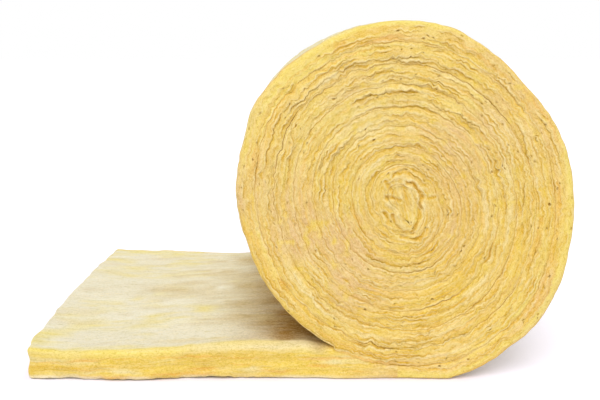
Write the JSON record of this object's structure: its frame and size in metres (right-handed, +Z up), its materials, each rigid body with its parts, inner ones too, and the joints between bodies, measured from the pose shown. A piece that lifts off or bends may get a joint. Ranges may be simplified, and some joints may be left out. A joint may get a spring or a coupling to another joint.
{
  "type": "insulation roll",
  "caption": "Roll of soft glass wool lying on its side, wound as a spiral from one thick blanket, with the blanket's outer end unrolled flat along the floor.",
  "frame": {"origin": "on the underside, straight below the roll's axis, at half the blanket's width", "axes": "+X from the roll away from its laid-out end, +Y along the roll's axis, +Z up"},
  "size_m": [0.8264, 0.6, 0.543],
  "materials": {
    "glass_wool": "soft yellow fibre, no facing"
  },
  "bodies": {
    "root": {"glass_wool_blanket": "glass_wool"}
  },
  "joints": []
}
